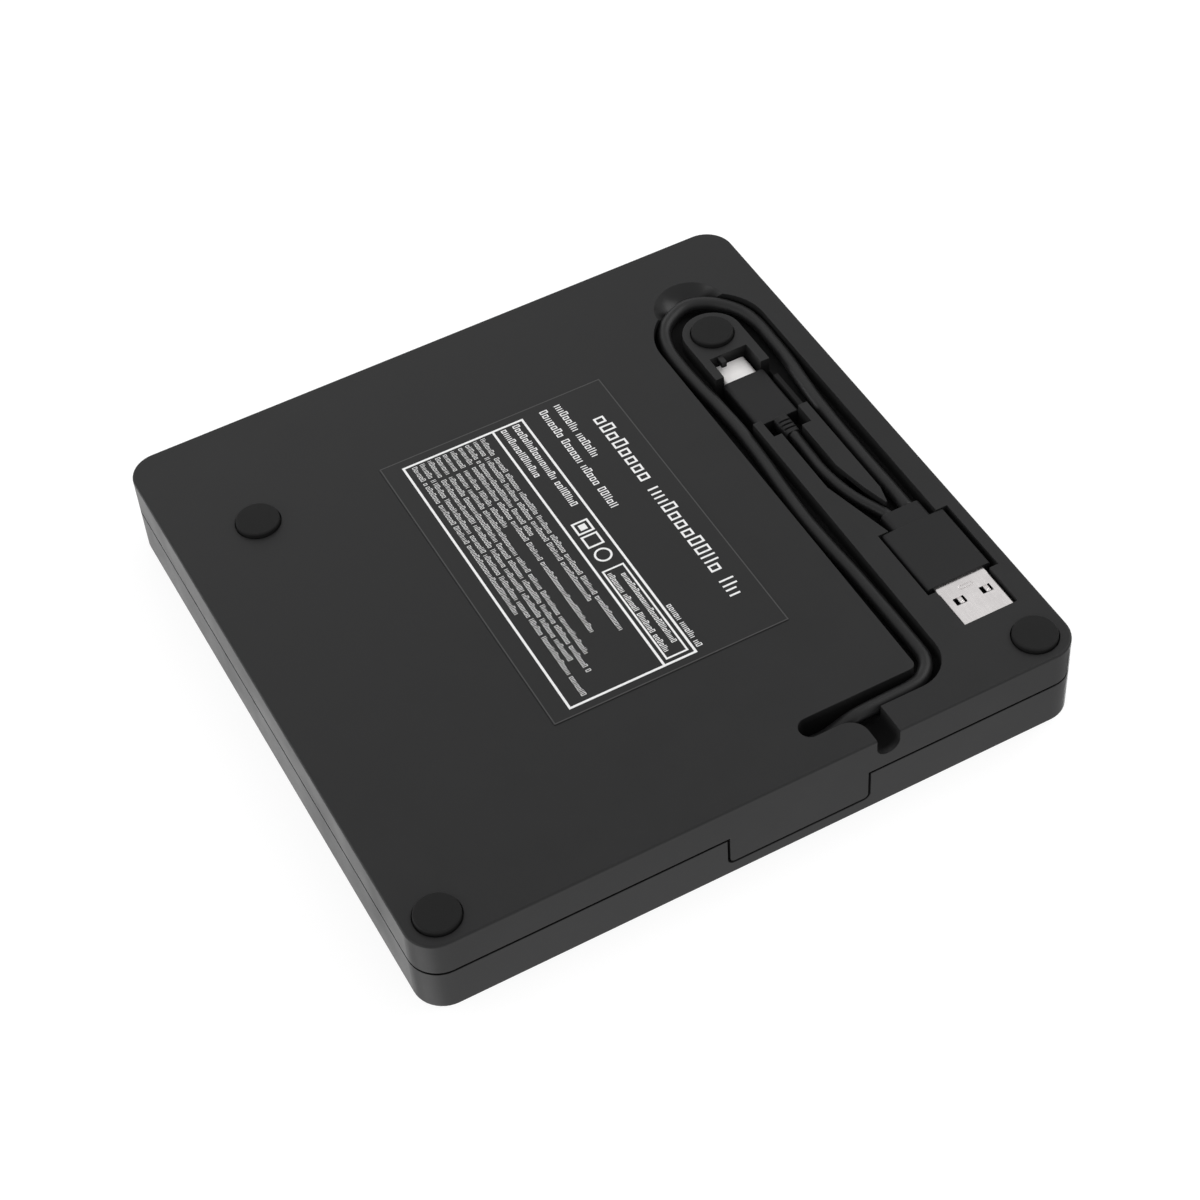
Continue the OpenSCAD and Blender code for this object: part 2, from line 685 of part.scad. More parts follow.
module slide_rail(s) {
    x = [rail_x - rail_w / 2, rail_x + rail_w / 2];
    h = groove_h / 2;
    scale([s, 1, 1]) color([0.3, 0.3, 0.32]) difference() {
        span(x, rail_y, [rail_z - rail_h / 2, rail_z + rail_h / 2]);
        span([x[0] - 1, x[0] + groove_d], rail_y + [-1, 1], [rail_z - h, rail_z + h]);
        span([x[1] - groove_d, x[1] + 1], rail_y + [-1, 1], [rail_z - h, rail_z + h]);
    }
}

module left_rail_guide() rail_guide(-1);
module right_rail_guide() rail_guide(1);
module left_slide_rail() slide_rail(-1);
module right_slide_rail() slide_rail(1);
module tray_catch_pin() color([0.75, 0.75, 0.77]) rod(pin_at, 1.2, pan_z + sheet_t, 13.9);

// ---- tray ----

// The way through the tray's rear that the catch pin takes
module pin_way(z0, z1) {
    box([pin_at[0] - 1.9, pin_at[1] - 2.2, z0], [pin_at[0] + 1.9, tray_y[1] + 1, z1]);
}

module disc_tray() {
    cavity = tray_floor - tray_web;
    h = tongue_h / 2;
    color([0.12, 0.12, 0.13]) {
        difference() {
            box([-tray_x, tray_y[0], tray_z], [tray_x, tray_y[1], tray_top]);
            rod(spindle, well_r, tray_floor, tray_top + 1);
            inside_skirt(0, tray_z - 1, cavity);
            // Opening for the mechanism, with a ledge that its cover rests on
            intersection() {
                mechanism() mechanism_outline(cover_r, cover_half, 6, tray_floor - cover_t, tray_floor + 1);
                inside_skirt(1, tray_z, tray_floor + 1);
            }
            intersection() {
                mechanism() mechanism_outline(cover_r + [1.2, -1.2], cover_half - 1.2, 5, tray_z, tray_floor);
                inside_skirt(0, tray_z, tray_floor - cover_t + eps);
            }
            // Room for the button and the light behind the bezel
            span([button_x - 8, button_x + 8], [tray_y[0] - 1, -62.4], [11.6, 16.7]);
            span([light_x - 1.6, light_x + 1.6], [tray_y[0] - 1, -66], [13, 15.2]);
            span([pinhole_x - 1, pinhole_x + 1], [tray_y[0] - 1, -66], [13, 15]);
            pin_way(tray_z - 1, 14.6);
        }
        for (s = [-1, 1]) scale([s, 1, 1])
            span([tray_x - eps, rail_x - rail_w / 2 + groove_d - tongue_play], [-60, 52],
                [rail_z - h, rail_z + h]);
        rod(latch_at, 1, 11, cavity + eps);
    }
}

module tray_bezel() {
    y = [-half_d, tray_y[0]];
    color([0.15, 0.15, 0.15]) difference() {
        translate([0, y[1], (bezel_z[0] + bezel_z[1]) / 2]) rotate([90, 0, 0])
            linear_extrude(y[1] - y[0]) rounded_rect(2 * bezel_x, bezel_z[1] - bezel_z[0], 0.6);
        translate([button_x, y[1] + 1, button_z]) rotate([90, 0, 0])
            linear_extrude(4) rounded_rect(button_w + 2 * button_play, button_h + 2 * button_play, 0.8);
        span([light_x - light_w / 2, light_x + light_w / 2], [y[0] - 1, y[1] + 1],
            [button_z - light_h / 2, button_z + light_h / 2]);
        translate([pinhole_x, y[1] + 1, button_z]) rotate([90, 0, 0]) cylinder(r = 0.6, h = 4);
    }
}

module activity_light() {
    color([0.8, 0.85, 0.8]) span([light_x - light_w / 2, light_x + light_w / 2],
        [-half_d, -67], [button_z - light_h / 2, button_z + light_h / 2]);
}

module eject_button() {
    color([0.17, 0.17, 0.17]) {
        translate([button_x, -70.3, button_z]) rotate([90, 0, 0])
            linear_extrude(half_d - 70.3) rounded_rect(button_w, button_h, 0.7);
        span([button_x - 7, button_x + 7], [-70.65, -70.05], [button_z - 2.2, button_z + 2.2]);
        span([button_x - 1, button_x + 1], [-70.1, -67.2], [button_z - 1, button_z + 1]);
    }
}

module tray_shield() {
    color([0.72, 0.72, 0.74]) difference() {
        box([-58, tray_y[0] + 1.2, tray_z - shield_t], [58, tray_y[1] - 0.5, tray_z]);
        pin_way(tray_z - 2, tray_z + 1);
        mechanism() for (r = [14 : 9 : 50], s = [-15, 15]) translate([r, s, 0])
            rounded_block(4, 8, 1.5, tray_z - 2, tray_z + 1);
    }
}

module tray_board() {
    color([0.1, 0.35, 0.2]) difference() {
        span([34, 57.5], [-68.5, 34], [tray_z + 0.7, tray_z + 1.5]);
        rod(latch_at, 2.5, 10, 13);
        box([40, 18, 10], [58, 35, 13]);
    }
}

module drive_chip() color([0.08, 0.08, 0.08])
    span([38, 52], [-36, -22], [tray_z + 1.5, tray_z + 2.8]);

module eject_switch() {
    color([0.2, 0.2, 0.2]) {
        span([button_x - 2.5, button_x + 2.5], [-65.9, -62.9], [tray_z + 1.5, 15.6]);
        translate([button_x, -65.9 + eps, button_z]) rotate([90, 0, 0]) cylinder(r = 0.8, h = 0.7);
    }
}

module latch_solenoid() {
    color([0.65, 0.4, 0.2]) span([30, 39], [36, 46], [tray_z + 0.3, 13.8]);
}

// ---- mechanism ----

module mechanism_deck() {
    color([0.75, 0.75, 0.77]) intersection() {
        inside_skirt(0.3, tray_z, tray_floor);
        mechanism_deck_shape();
    }
}

module mechanism_deck_shape() {
    difference() {
        union() {
            mechanism() mechanism_outline(deck_r, deck_half, 5, deck_z, deck_z + deck_t);
            // Blocks that hold the ends of the rods and of the lead screw
            mechanism() for (r = [rod_span[0], rod_span[1] - 1.5]) {
                for (s = [-1, 1])
                    box([r, s * rod_off - 2, deck_z], [r + 1.5, s * rod_off + 2, rod_z + 1.3]);
                if (r < 20) box([r, screw_off - 2, deck_z], [r + 1.5, screw_off + 2, rod_z + 1.3]);
            }
        }
        mechanism() {
            box([16, -12, deck_z - 1], [65, 12, deck_z + 1]);
            for (s = [-1, 1]) along_sled(rod_r, s * rod_off, rod_z, [rod_span[0] - 1, rod_span[1] + 1]);
            along_sled(journal_r + run_play, screw_off, rod_z, [rod_span[0] - 1, rod_span[0] + 2]);
            for (p = damper_at) translate([p[0], p[1], deck_z - 1]) cylinder(r = 1.9, h = 3);
        }
    }
}

module deck_dampers() {
    color([0.1, 0.1, 0.1]) mechanism() for (p = damper_at) translate([p[0], p[1], tray_z])
        rotate_extrude() {
            square([1.85, 2]);
            square([2.6, 0.65]);
            translate([0, 1.35]) square([2.6, 0.65]);
        }
}

// Cover around the turntable, with the window that the lens looks through
module mechanism_cover() {
    color([0.1, 0.1, 0.11]) difference() {
        intersection() {
            mechanism() mechanism_outline([cover_r[0] + 0.3, cover_r[1] - 0.3], cover_half - 0.3, 5.7,
                tray_floor - cover_t, tray_floor);
            inside_skirt(1.3, tray_floor - 1, tray_floor + 1);
        }
        rod(spindle, turntable_r + 0.7, tray_floor - 1, tray_floor + 1);
        mechanism() mechanism_outline([lens_r - 7, lens_r + sled_travel + 6], 6, 5, tray_floor - 1, tray_floor + 1);
    }
}

module spindle_stator() {
    teeth = 12;
    color([0.6, 0.45, 0.25]) translate([spindle[0], spindle[1], 0]) difference() {
        union() {
            translate([0, 0, deck_z + deck_t]) cylinder(r = 10, h = 0.6);
            translate([0, 0, 12.4 - eps]) cylinder(r = 9.2, h = 1.8);
            translate([0, 0, 12.4 - eps]) cylinder(r = 2, h = 2.2);
        }
        for (i = [0 : teeth - 1]) rotate([0, 0, i * 360 / teeth])
            translate([6, -0.6, 12.4]) cube([4, 1.2, 3]);
        translate([0, 0, 11.9]) cylinder(r = 0.8, h = 4);
    }
}

module main_guide_rod() color([0.8, 0.8, 0.82]) mechanism() along_sled(rod_r - 0.02, rod_off, rod_z, rod_span);
module sub_guide_rod() color([0.8, 0.8, 0.82]) mechanism() along_sled(rod_r - 0.02, -rod_off, rod_z, rod_span);

module sled_motor() {
    color([0.7, 0.7, 0.72]) mechanism() difference() {
        // Can with flats at the top and bottom
        intersection() {
            along_sled(motor_r, screw_off, rod_z, motor_span);
            box([motor_span[0], screw_off - 3, deck_z + deck_t], [motor_span[1], screw_off + 3, rod_z + 1.3]);
        }
        along_sled(journal_r + run_play, screw_off, rod_z, [motor_span[0] - 1, motor_span[0] + 2.3]);
    }
}

module lead_screw() {
    pitch = 1.5;
    color([0.8, 0.8, 0.82]) mechanism() {
        difference() {
            along_sled(screw_r, screw_off, rod_z, screw_span + [0.2, -0.2]);
            for (x = [screw_span[0] + 1 : pitch : screw_span[1] - 1.5]) translate([x, screw_off, rod_z])
                rotate([0, 90, 0]) difference() {
                    cylinder(r = screw_r + 1, h = 0.5);
                    translate([0, 0, -1]) cylinder(r = screw_r - 0.25, h = 3);
                }
        }
        along_sled(journal_r, screw_off, rod_z, [rod_span[0], screw_span[0] + 1]);
        along_sled(journal_r, screw_off, rod_z, [screw_span[1] - 1, screw_span[1] + 2]);
    }
}

module turntable() {
    color([0.2, 0.2, 0.22]) translate([spindle[0], spindle[1], 0]) rotate_extrude() {
        translate([0, 14.8]) square([rotor_r, 0.6]);
        translate([rotor_r - 0.9, 12.7]) square([0.9, 2.7]);
        translate([0, 15.2]) square([turntable_r, disc_z - 15.3]);
        translate([0, 12.2]) square([0.75, 3]);
    }
}

module turntable_pad() {
    color([0.05, 0.05, 0.05]) translate([spindle[0], spindle[1], disc_z - 0.1]) difference() {
        cylinder(r = turntable_r - 0.3, h = 0.2);
        translate([0, 0, -1]) cylinder(r = turntable_r - 3, h = 2);
    }
}

module clamp_hub() {
    color([0.15, 0.15, 0.16]) translate([spindle[0], spindle[1], 0]) difference() {
        rotate_extrude() {
            translate([0, disc_z - 0.1]) square([hub_r, 1.2]);
            translate([0, disc_z + 1]) polygon([[0, 0], [hub_r, 0], [hub_r - 0.7, hub_top - disc_z - 1],
                [0, hub_top - disc_z - 1]]);
        }
        for (i = [0 : 2]) rotate([0, 0, 120 * i])
            translate([3.6, -claw_w / 2 - 0.15, disc_z + 0.2]) cube([6, claw_w + 0.3, 1.1]);
    }
}

// Sprung claw that snaps over the disc's hole
module clamp_claw(i) {
    color([0.5, 0.5, 0.52]) translate([spindle[0], spindle[1], 0]) rotate([0, 0, 120 * i])
        translate([0, claw_w / 2, disc_z + 0.3]) rotate([90, 0, 0]) linear_extrude(claw_w)
            polygon([[4.6, 0], [7.1, 0], [7.8, 0.5], [7.4, 0.9], [4.6, 0.9]]);
}

module clamp_claw_1() clamp_claw(0);
module clamp_claw_2() clamp_claw(1);
module clamp_claw_3() clamp_claw(2);

module optical_sled() {
    r = [lens_r - sled_half, lens_r + sled_half];
    color([0.35, 0.35, 0.37]) mechanism() difference() {
        union() {
            box([r[0], 1.6 - rod_off, sled_z[0]], [r[1], rod_off + 2, sled_z[1]]);
            // Fork round the second rod, and the half nut on the lead screw
            for (z = [[sled_z[0], rod_z - rod_r - run_play], [rod_z + rod_r + run_play, sled_z[1]]])
                box([lens_r - 4, -rod_off - 1.6, z[0]], [lens_r + 4, 2 - rod_off, z[1]]);
            box([r[0] + 2, rod_off + 2 - eps, sled_z[0]], [r[0] + 7, screw_off, sled_z[1]]);
        }
        along_sled(rod_r + run_play, rod_off, rod_z, [r[0] - 1, r[1] + 1]);
        along_sled(screw_r + 0.1, screw_off, rod_z, [r[0], r[1]]);
        // Well of the lens holder
        box([lens_r - 4.6, -5.2, sled_z[0] + 0.9], [lens_r + 4.6, 5.2, sled_z[1] + 1]);
    }
}

module lens_holder() {
    color([0.1, 0.1, 0.1]) mechanism() difference() {
        translate([lens_r, 0, 0]) rounded_block(8, 9.4, 1, sled_z[0] + 1.4, sled_z[1] + 0.3);
        translate([lens_r, 0, sled_z[0]]) cylinder(r = 2, h = 4);
    }
}

module objective_lens() {
    color([0.6, 0.7, 0.85]) mechanism() translate([lens_r, 0, sled_z[0] + 1.9])
        rotate_extrude() {
            square([1.99, 0.7]);
            intersection() {
                translate([0, -1.9]) circle(3);
                square([1.7, 1.1]);
            }
        }
}

module latch_lever() {
    z = [12.4, 13.6];
    color([0.8, 0.78, 0.7]) translate([latch_at[0], latch_at[1], 0]) rotate([0, 0, latch_open])
        difference() {
            union() {
                rod([0, 0], 2.2, z[0], z[1]);
                span([-1.2, 1.2], [0, 21.5], z);
                span([-1.2, 5.6], [18.2, 21.5], z);
                span([-6, 0], [-1.1, 1.1], z);
            }
            rod([0, 0], 1 + run_play, 10, 15);
        }
}

top_cover();
bottom_cover();
foot_front_left();
foot_front_right();
foot_rear_left();
foot_rear_right();
rating_label();
case_screws();
cord_grommet();
cord_wires();
usb_cord();
usb_a_overmould();
usb_a_shell();
usb_a_tongue();
short_lead();
usb_c_overmould();
usb_c_shell();
bridge_board();
bridge_chip();
bridge_crystal();
bridge_sata_plug();
drive_pan();
drive_top_plate();
drive_sata_socket();
rear_flex_board();
tray_flex_cable();
left_rail_guide();
right_rail_guide();
tray_catch_pin();
left_slide_rail();
right_slide_rail();
disc_tray();
tray_bezel();
activity_light();
tray_shield();
tray_board();
drive_chip();
eject_switch();
latch_solenoid();
mechanism_deck();
mechanism_cover();
deck_dampers();
spindle_stator();
main_guide_rod();
sub_guide_rod();
sled_motor();
turntable();
turntable_pad();
clamp_hub();
clamp_claw_1();
clamp_claw_2();
clamp_claw_3();
optical_sled();
lens_holder();
objective_lens();
lead_screw();
latch_lever();
eject_button();
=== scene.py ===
import json
import math

import bmesh
import bpy
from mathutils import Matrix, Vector


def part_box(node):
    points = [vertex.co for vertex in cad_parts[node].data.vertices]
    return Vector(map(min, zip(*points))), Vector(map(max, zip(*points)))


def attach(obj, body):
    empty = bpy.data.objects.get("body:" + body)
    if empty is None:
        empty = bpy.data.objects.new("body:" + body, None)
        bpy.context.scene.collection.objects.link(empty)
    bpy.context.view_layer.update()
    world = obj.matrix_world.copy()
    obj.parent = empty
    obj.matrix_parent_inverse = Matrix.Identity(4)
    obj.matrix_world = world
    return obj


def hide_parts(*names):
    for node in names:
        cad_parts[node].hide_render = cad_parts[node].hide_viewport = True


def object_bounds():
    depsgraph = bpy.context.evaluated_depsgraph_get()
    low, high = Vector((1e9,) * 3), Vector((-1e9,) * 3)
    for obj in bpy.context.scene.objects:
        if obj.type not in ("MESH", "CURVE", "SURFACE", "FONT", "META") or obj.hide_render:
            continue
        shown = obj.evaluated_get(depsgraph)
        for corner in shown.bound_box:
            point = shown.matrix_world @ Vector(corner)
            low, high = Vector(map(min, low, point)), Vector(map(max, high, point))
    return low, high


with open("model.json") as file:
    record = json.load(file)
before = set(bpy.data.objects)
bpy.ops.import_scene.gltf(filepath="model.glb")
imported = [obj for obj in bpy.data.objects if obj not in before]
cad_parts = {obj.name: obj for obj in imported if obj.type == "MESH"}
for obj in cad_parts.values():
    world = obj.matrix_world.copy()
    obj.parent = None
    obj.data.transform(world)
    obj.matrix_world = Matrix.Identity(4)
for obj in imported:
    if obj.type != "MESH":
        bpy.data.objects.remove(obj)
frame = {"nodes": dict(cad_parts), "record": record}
cad_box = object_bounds()
nodes = frame["nodes"]
MM = 0.001

# ---------------------------------------------------------------- camera

scene = bpy.context.scene
scene.view_settings.view_transform = "Standard"
scene.view_settings.look = "None"

camera = bpy.data.objects.new("camera", bpy.data.cameras.new("camera"))
scene.collection.objects.link(camera)
camera.location = (-0.1566, 0.3469, -0.41586)
camera.rotation_euler = [math.radians(a) for a in (-138.739, -3.139, 28.251)]
camera.data.lens = 82.592
camera.data.sensor_width = 36
camera.data.shift_x = -0.0005
camera.data.shift_y = -0.0004
camera.data.clip_start = 0.01
camera.data.clip_end = 20
scene.camera = camera


# ---------------------------------------------------------------- helpers

def link(ob):
    scene.collection.objects.link(ob)
    return ob


def smooth_route(points, steps=8):
    """A smooth line through the points, which are in millimetres."""
    p = [Vector(q) * MM for q in points]
    p = [p[0] * 2 - p[1]] + p + [p[-1] * 2 - p[-2]]
    out = []
    for i in range(1, len(p) - 2):
        a, b, c, d = p[i - 1:i + 3]
        for k in range(steps):
            t = k / steps
            out.append(0.5 * (2 * b + (c - a) * t + (2 * a - 5 * b + 4 * c - d) * t * t
                              + (3 * b - a - 3 * c + d) * t ** 3))
    return out + [p[-2]]


def cord_tube(name, points, diameter, sides=16):
    """A round tube along a smooth line through the points, and that line."""
    line = smooth_route(points)
    bm = bmesh.new()
    rings = []
    for i, q in enumerate(line):
        along = (line[min(i + 1, len(line) - 1)] - line[max(i - 1, 0)]).normalized()
        across = along.cross(Vector((0, 0, 1))).normalized()
        up = across.cross(along)
        rings.append([bm.verts.new(q + (across * math.cos(a) + up * math.sin(a)) * diameter / 2)
                      for a in (2 * math.pi * k / sides for k in range(sides))])
    for low, high in zip(rings, rings[1:]):
        for k in range(sides):
            n = (k + 1) % sides
            bm.faces.new((low[k], low[n], high[n], high[k])).smooth = True
    bm.faces.new(rings[0])
    bm.faces.new(rings[-1])
    bmesh.ops.recalc_face_normals(bm, faces=bm.faces)
    data = bpy.data.meshes.new(name)
    bm.to_mesh(data)
    bm.free()
    return link(bpy.data.objects.new(name, data)), line, sum((b - a).length for a, b in zip(line, line[1:]))


# ---------------------------------------------------------------- cords

CORD_D = 0.0031
LEAD_D = 0.0026
CORD_ROUTE = [
    (16, 63.2, 6.3), (18.2, 63.2, 6.3), (20.5, 63.3, 5.7), (22.8, 63.4, 4.7), (25, 63.5, 3.8),
    (27.5, 63.5, 3.4), (33, 63.3, 3.4), (38.4, 63.1, 3.4), (41.4, 62.4, 3.4), (43.6, 60.8, 3.4),
    (44.9, 58.6, 3.4), (45.3, 56, 3.4), (45.3, 48, 3.4), (45.2, 40, 3.4), (45, 32, 3.4), (44.5, 23, 3.4),
    (44.3, 14, 3.4), (44.7, 5, 3.4), (45.3, -4, 3.4), (45.7, -14, 3.4), (45.4, -23, 3.4),
    (44.8, -31, 3.4), (44.5, -39, 3.4), (44.9, -45.5, 3.3), (46.8, -50.4, 3.1), (50.4, -53.2, 2.85),
    (54.7, -54.5, 2.7), (59, -53.2, 2.8), (62.4, -50.3, 3), (64.9, -46.5, 3.3), (65.9, -41.5, 3.4),
    (65.9, -36, 3.4), (65.7, -29, 3.4), (65, -22, 3.4), (64.4, -14.5, 3.4), (64.1, -7, 3.4),
    (64, 0, 3.4), (64, 8, 3.4), (64.1, 15, 3.4), (64.1, 22.6, 3.4),
]
LEAD_ROUTE = [
    (54.9, -8.4, 3.5), (54.9, -5.5, 3.5), (54.7, -1, 3.4), (54.5, 4, 3.2), (54.9, 8.5, 3.1),
    (55.7, 12.5, 3.1), (56.8, 16, 3.1), (58.1, 19, 3.1), (59, 21.2, 3.1), (59.2, 22, 3.1), (59.2, 22.6, 3.1),
]

cord, cord_line, cord_length = cord_tube("stowed_cord", CORD_ROUTE, CORD_D)
lead, lead_line, lead_length = cord_tube("plug_lead", LEAD_ROUTE, LEAD_D)
for piece, node in ((cord, "usb_cord"), (lead, "short_lead")):
    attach(piece, "case")
    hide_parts(node)


# ---------------------------------------------------------------- materials

def tree(name):
    m = bpy.data.materials.new(name)
    m.use_nodes = True
    return m, m.node_tree, m.node_tree.nodes["Principled BSDF"]


def add(t, kind, **values):
    n = t.nodes.new(kind)
    for key, value in values.items():
        if hasattr(n, key):
            setattr(n, key, value)
        else:
            n.inputs[key.replace("_", " ").title()].default_value = value
    return n


def noise(t, coords, scale, detail=2.0, rough=0.5):
    n = add(t, "ShaderNodeTexNoise")
    n.inputs["Scale"].default_value = scale
    n.inputs["Detail"].default_value = detail
    n.inputs["Roughness"].default_value = rough
    t.links.new(coords, n.inputs["Vector"])
    return n.outputs["Fac"]


def remap(t, value, lo, hi, a, b):
    n = add(t, "ShaderNodeMapRange")
    for socket, v in (("From Min", lo), ("From Max", hi), ("To Min", a), ("To Max", b)):
        n.inputs[socket].default_value = v
    t.links.new(value, n.inputs["Value"])
    return n.outputs["Result"]


def mix(t, fac, a, b):
    n = add(t, "ShaderNodeMix", data_type="RGBA")
    t.links.new(fac, n.inputs["Factor"])
    for socket, c in ((n.inputs[6], a), (n.inputs[7], b)):
        if isinstance(c, (tuple, list)):
            socket.default_value = (*c[:3], 1)
        else:
            t.links.new(c, socket)
    return n.outputs[2]


def scaled(c, k):
    return tuple(v * k for v in c[:3])


def coords_of(t, stretch=None):
    c = add(t, "ShaderNodeTexCoord").outputs["Object"]
    if stretch:
        m = add(t, "ShaderNodeMapping")
        m.inputs["Scale"].default_value = stretch
        t.links.new(c, m.inputs["Vector"])
        c = m.outputs["Vector"]
    return c


def bumped(t, shader, height, distance, strength=1.0, soft=0.0):
    b = add(t, "ShaderNodeBump")
    b.inputs["Strength"].default_value = strength
    b.inputs["Distance"].default_value = distance
    t.links.new(height, b.inputs["Height"])
    if soft:
        e = add(t, "ShaderNodeBevel", samples=4)
        e.inputs["Radius"].default_value = soft
        t.links.new(e.outputs["Normal"], b.inputs["Normal"])
    t.links.new(b.outputs["Normal"], shader.inputs["Normal"])


def moulded(name, colour, rough, grain=0.00018, depth=0.00001, spec=0.3, soft=0.0, mottle=0.12, coat=0.0):
    """Moulded plastic or rubber: fine spark-eroded grain, faint mottling and uneven gloss."""
    m, t, s = tree(name)
    c = coords_of(t)
    fine = noise(t, c, 1 / grain, 3, 0.6)
    broad = noise(t, c, 90, 3, 0.55)
    patches = remap(t, broad, 0.35, 0.65, 0, 1)
    t.links.new(mix(t, patches, scaled(colour, 1 - mottle), scaled(colour, 1 + mottle)), s.inputs["Base Color"])
    t.links.new(remap(t, broad, 0.3, 0.7, rough - 0.04, rough + 0.04), s.inputs["Roughness"])
    s.inputs["Specular IOR Level"].default_value = spec
    s.inputs["Coat Weight"].default_value = coat
    s.inputs["Coat Roughness"].default_value = 0.25
    bumped(t, s, fine, depth, 0.6, soft)
    return m


def metal(name, colour, rough, stretch=(1, 1, 1), depth=0.000004, soft=0.0, metallic=1.0):
    """Rolled, drawn or plated metal: streaks along one direction and faint stains."""
    m, t, s = tree(name)
    c = coords_of(t, stretch)
    streak = noise(t, c, 2500, 3, 0.6)
    stain = noise(t, coords_of(t), 120, 4, 0.6)
    t.links.new(mix(t, remap(t, stain, 0.3, 0.7, 0, 1), scaled(colour, 0.9), scaled(colour, 1.06)),
                s.inputs["Base Color"])
    t.links.new(remap(t, streak, 0.25, 0.75, rough - 0.06, rough + 0.08), s.inputs["Roughness"])
    s.inputs["Metallic"].default_value = metallic
    bumped(t, s, streak, depth, 0.5, soft)
    return m


def board(name):
    """Green solder mask, lighter where copper tracks run under it."""
    m, t, s = tree(name)
    c = coords_of(t)
    bricks = add(t, "ShaderNodeTexVoronoi", feature="F1", distance="MANHATTAN")
    bricks.inputs["Scale"].default_value = 420
    t.links.new(c, bricks.inputs["Vector"])
    tracks = remap(t, bricks.outputs["Distance"], 0.42, 0.5, 0, 1)
    t.links.new(mix(t, tracks, (0.012, 0.1, 0.04), (0.03, 0.19, 0.08)), s.inputs["Base Color"])
    s.inputs["Roughness"].default_value = 0.35
    bumped(t, s, tracks, 0.00003, 0.6)
    return m


def winding(name):
    """Lacquered copper wire."""
    m, t, s = tree(name)
    w = add(t, "ShaderNodeTexWave", wave_type="BANDS", bands_direction="Z")
    w.inputs["Scale"].default_value = 900
    t.links.new(coords_of(t), w.inputs["Vector"])
    t.links.new(mix(t, w.outputs["Fac"], (0.25, 0.09, 0.03), (0.62, 0.28, 0.1)), s.inputs["Base Color"])
    s.inputs["Metallic"].default_value = 0.8
    s.inputs["Roughness"].default_value = 0.3
    bumped(t, s, w.outputs["Fac"], 0.00005)
    return m


def zone(t, x=None, y=None, z=None):
    """1 inside a region of the object and 0 outside; each range is (from, to, width of its soft ends)."""
    split = add(t, "ShaderNodeSeparateXYZ")
    t.links.new(coords_of(t), split.inputs[0])
    fac = None
    for axis, limits in zip("XYZ", (x, y, z)):
        if limits:
            lo, hi, soft = limits
            for part in (remap(t, split.outputs[axis], lo - soft, lo, 0, 1),
                         remap(t, split.outputs[axis], hi, hi + soft, 1, 0)):
                fac = combine(t, "MULTIPLY", fac, part) if fac else part
    return fac


def combine(t, operation, a, b):
    n = add(t, "ShaderNodeMath", operation=operation)
    for i, v in enumerate((a, b)):
        if isinstance(v, (int, float)):
            n.inputs[i].default_value = v
        else:
            t.links.new(v, n.inputs[i])
    return n.outputs[0]


# Regions of the case in metres: for X, Y and Z the lower limit, the upper limit and the width of the fade.
# Shade is painted into the recess and the seam; the scoop only gets a lower roughness
RECESS = (0.0095, 0.0702, 0.0004), (-0.0555, 0.0712, 0.001), (0.003, 0.0095, 0.0018)
SEAM = None, (-0.08, 0.0726, 0.00005), (0.0096, 0.0102, 0.00005)
SCOOP = (0.044, 0.065, 0.001), (-0.0612, -0.0555, 0.0006), (0.0011, 0.006, 0.0001)
SHADE = 0.12            # how much of its colour the plastic keeps where shade is painted into the recess and the seam


def case_plastic(name, colour):
    """The case's plastic: duller in the cord recess, darker with painted shade in the cord recess and the seam,
    polished in the finger scoop.
    """
    m = moulded(name, colour, 0.5, 0.00022, 0.000012, 0.24, 0.00022, 0.06)
    t, s = m.node_tree, m.node_tree.nodes["Principled BSDF"]
    base, rough = s.inputs["Base Color"], s.inputs["Roughness"]
    recess, seam, scoop = zone(t, *RECESS), zone(t, *SEAM), zone(t, *SCOOP)
    # painted shade: the base colour darkens in the cord recess and the seam gap, where shade falls
    painted_shade = combine(t, "MAXIMUM", recess, seam)
    t.links.new(mix(t, painted_shade, base.links[0].from_socket, scaled(colour, SHADE)), base)
    dull = combine(t, "ADD", rough.links[0].from_socket, combine(t, "MULTIPLY", recess, 0.4))
    t.links.new(combine(t, "SUBTRACT", dull, combine(t, "MULTIPLY", scoop, 0.2)), rough)
    return m


def printed(name, colour):
    """Screen-printed ink, slightly uneven."""
    m, t, s = tree(name)
    c = coords_of(t)
    n = noise(t, c, 1500, 3, 0.6)
    t.links.new(mix(t, remap(t, n, 0.35, 0.65, 0, 1), scaled(colour, 0.9), colour), s.inputs["Base Color"])
    s.inputs["Roughness"].default_value = 0.45
    s.inputs["Specular IOR Level"].default_value = 0.3
    bumped(t, s, n, 0.000003)
    return m


def lens_glass(name):
    m, t, s = tree(name)
    n = noise(t, coords_of(t), 300)
    t.links.new(mix(t, n, (0.25, 0.3, 0.55), (0.35, 0.3, 0.6)), s.inputs["Base Color"])
    s.inputs["Roughness"].default_value = 0.05
    s.inputs["Transmission Weight"].default_value = 0.6
    s.inputs["IOR"].default_value = 1.6
    s.inputs["Coat Weight"].default_value = 0.6
    return m


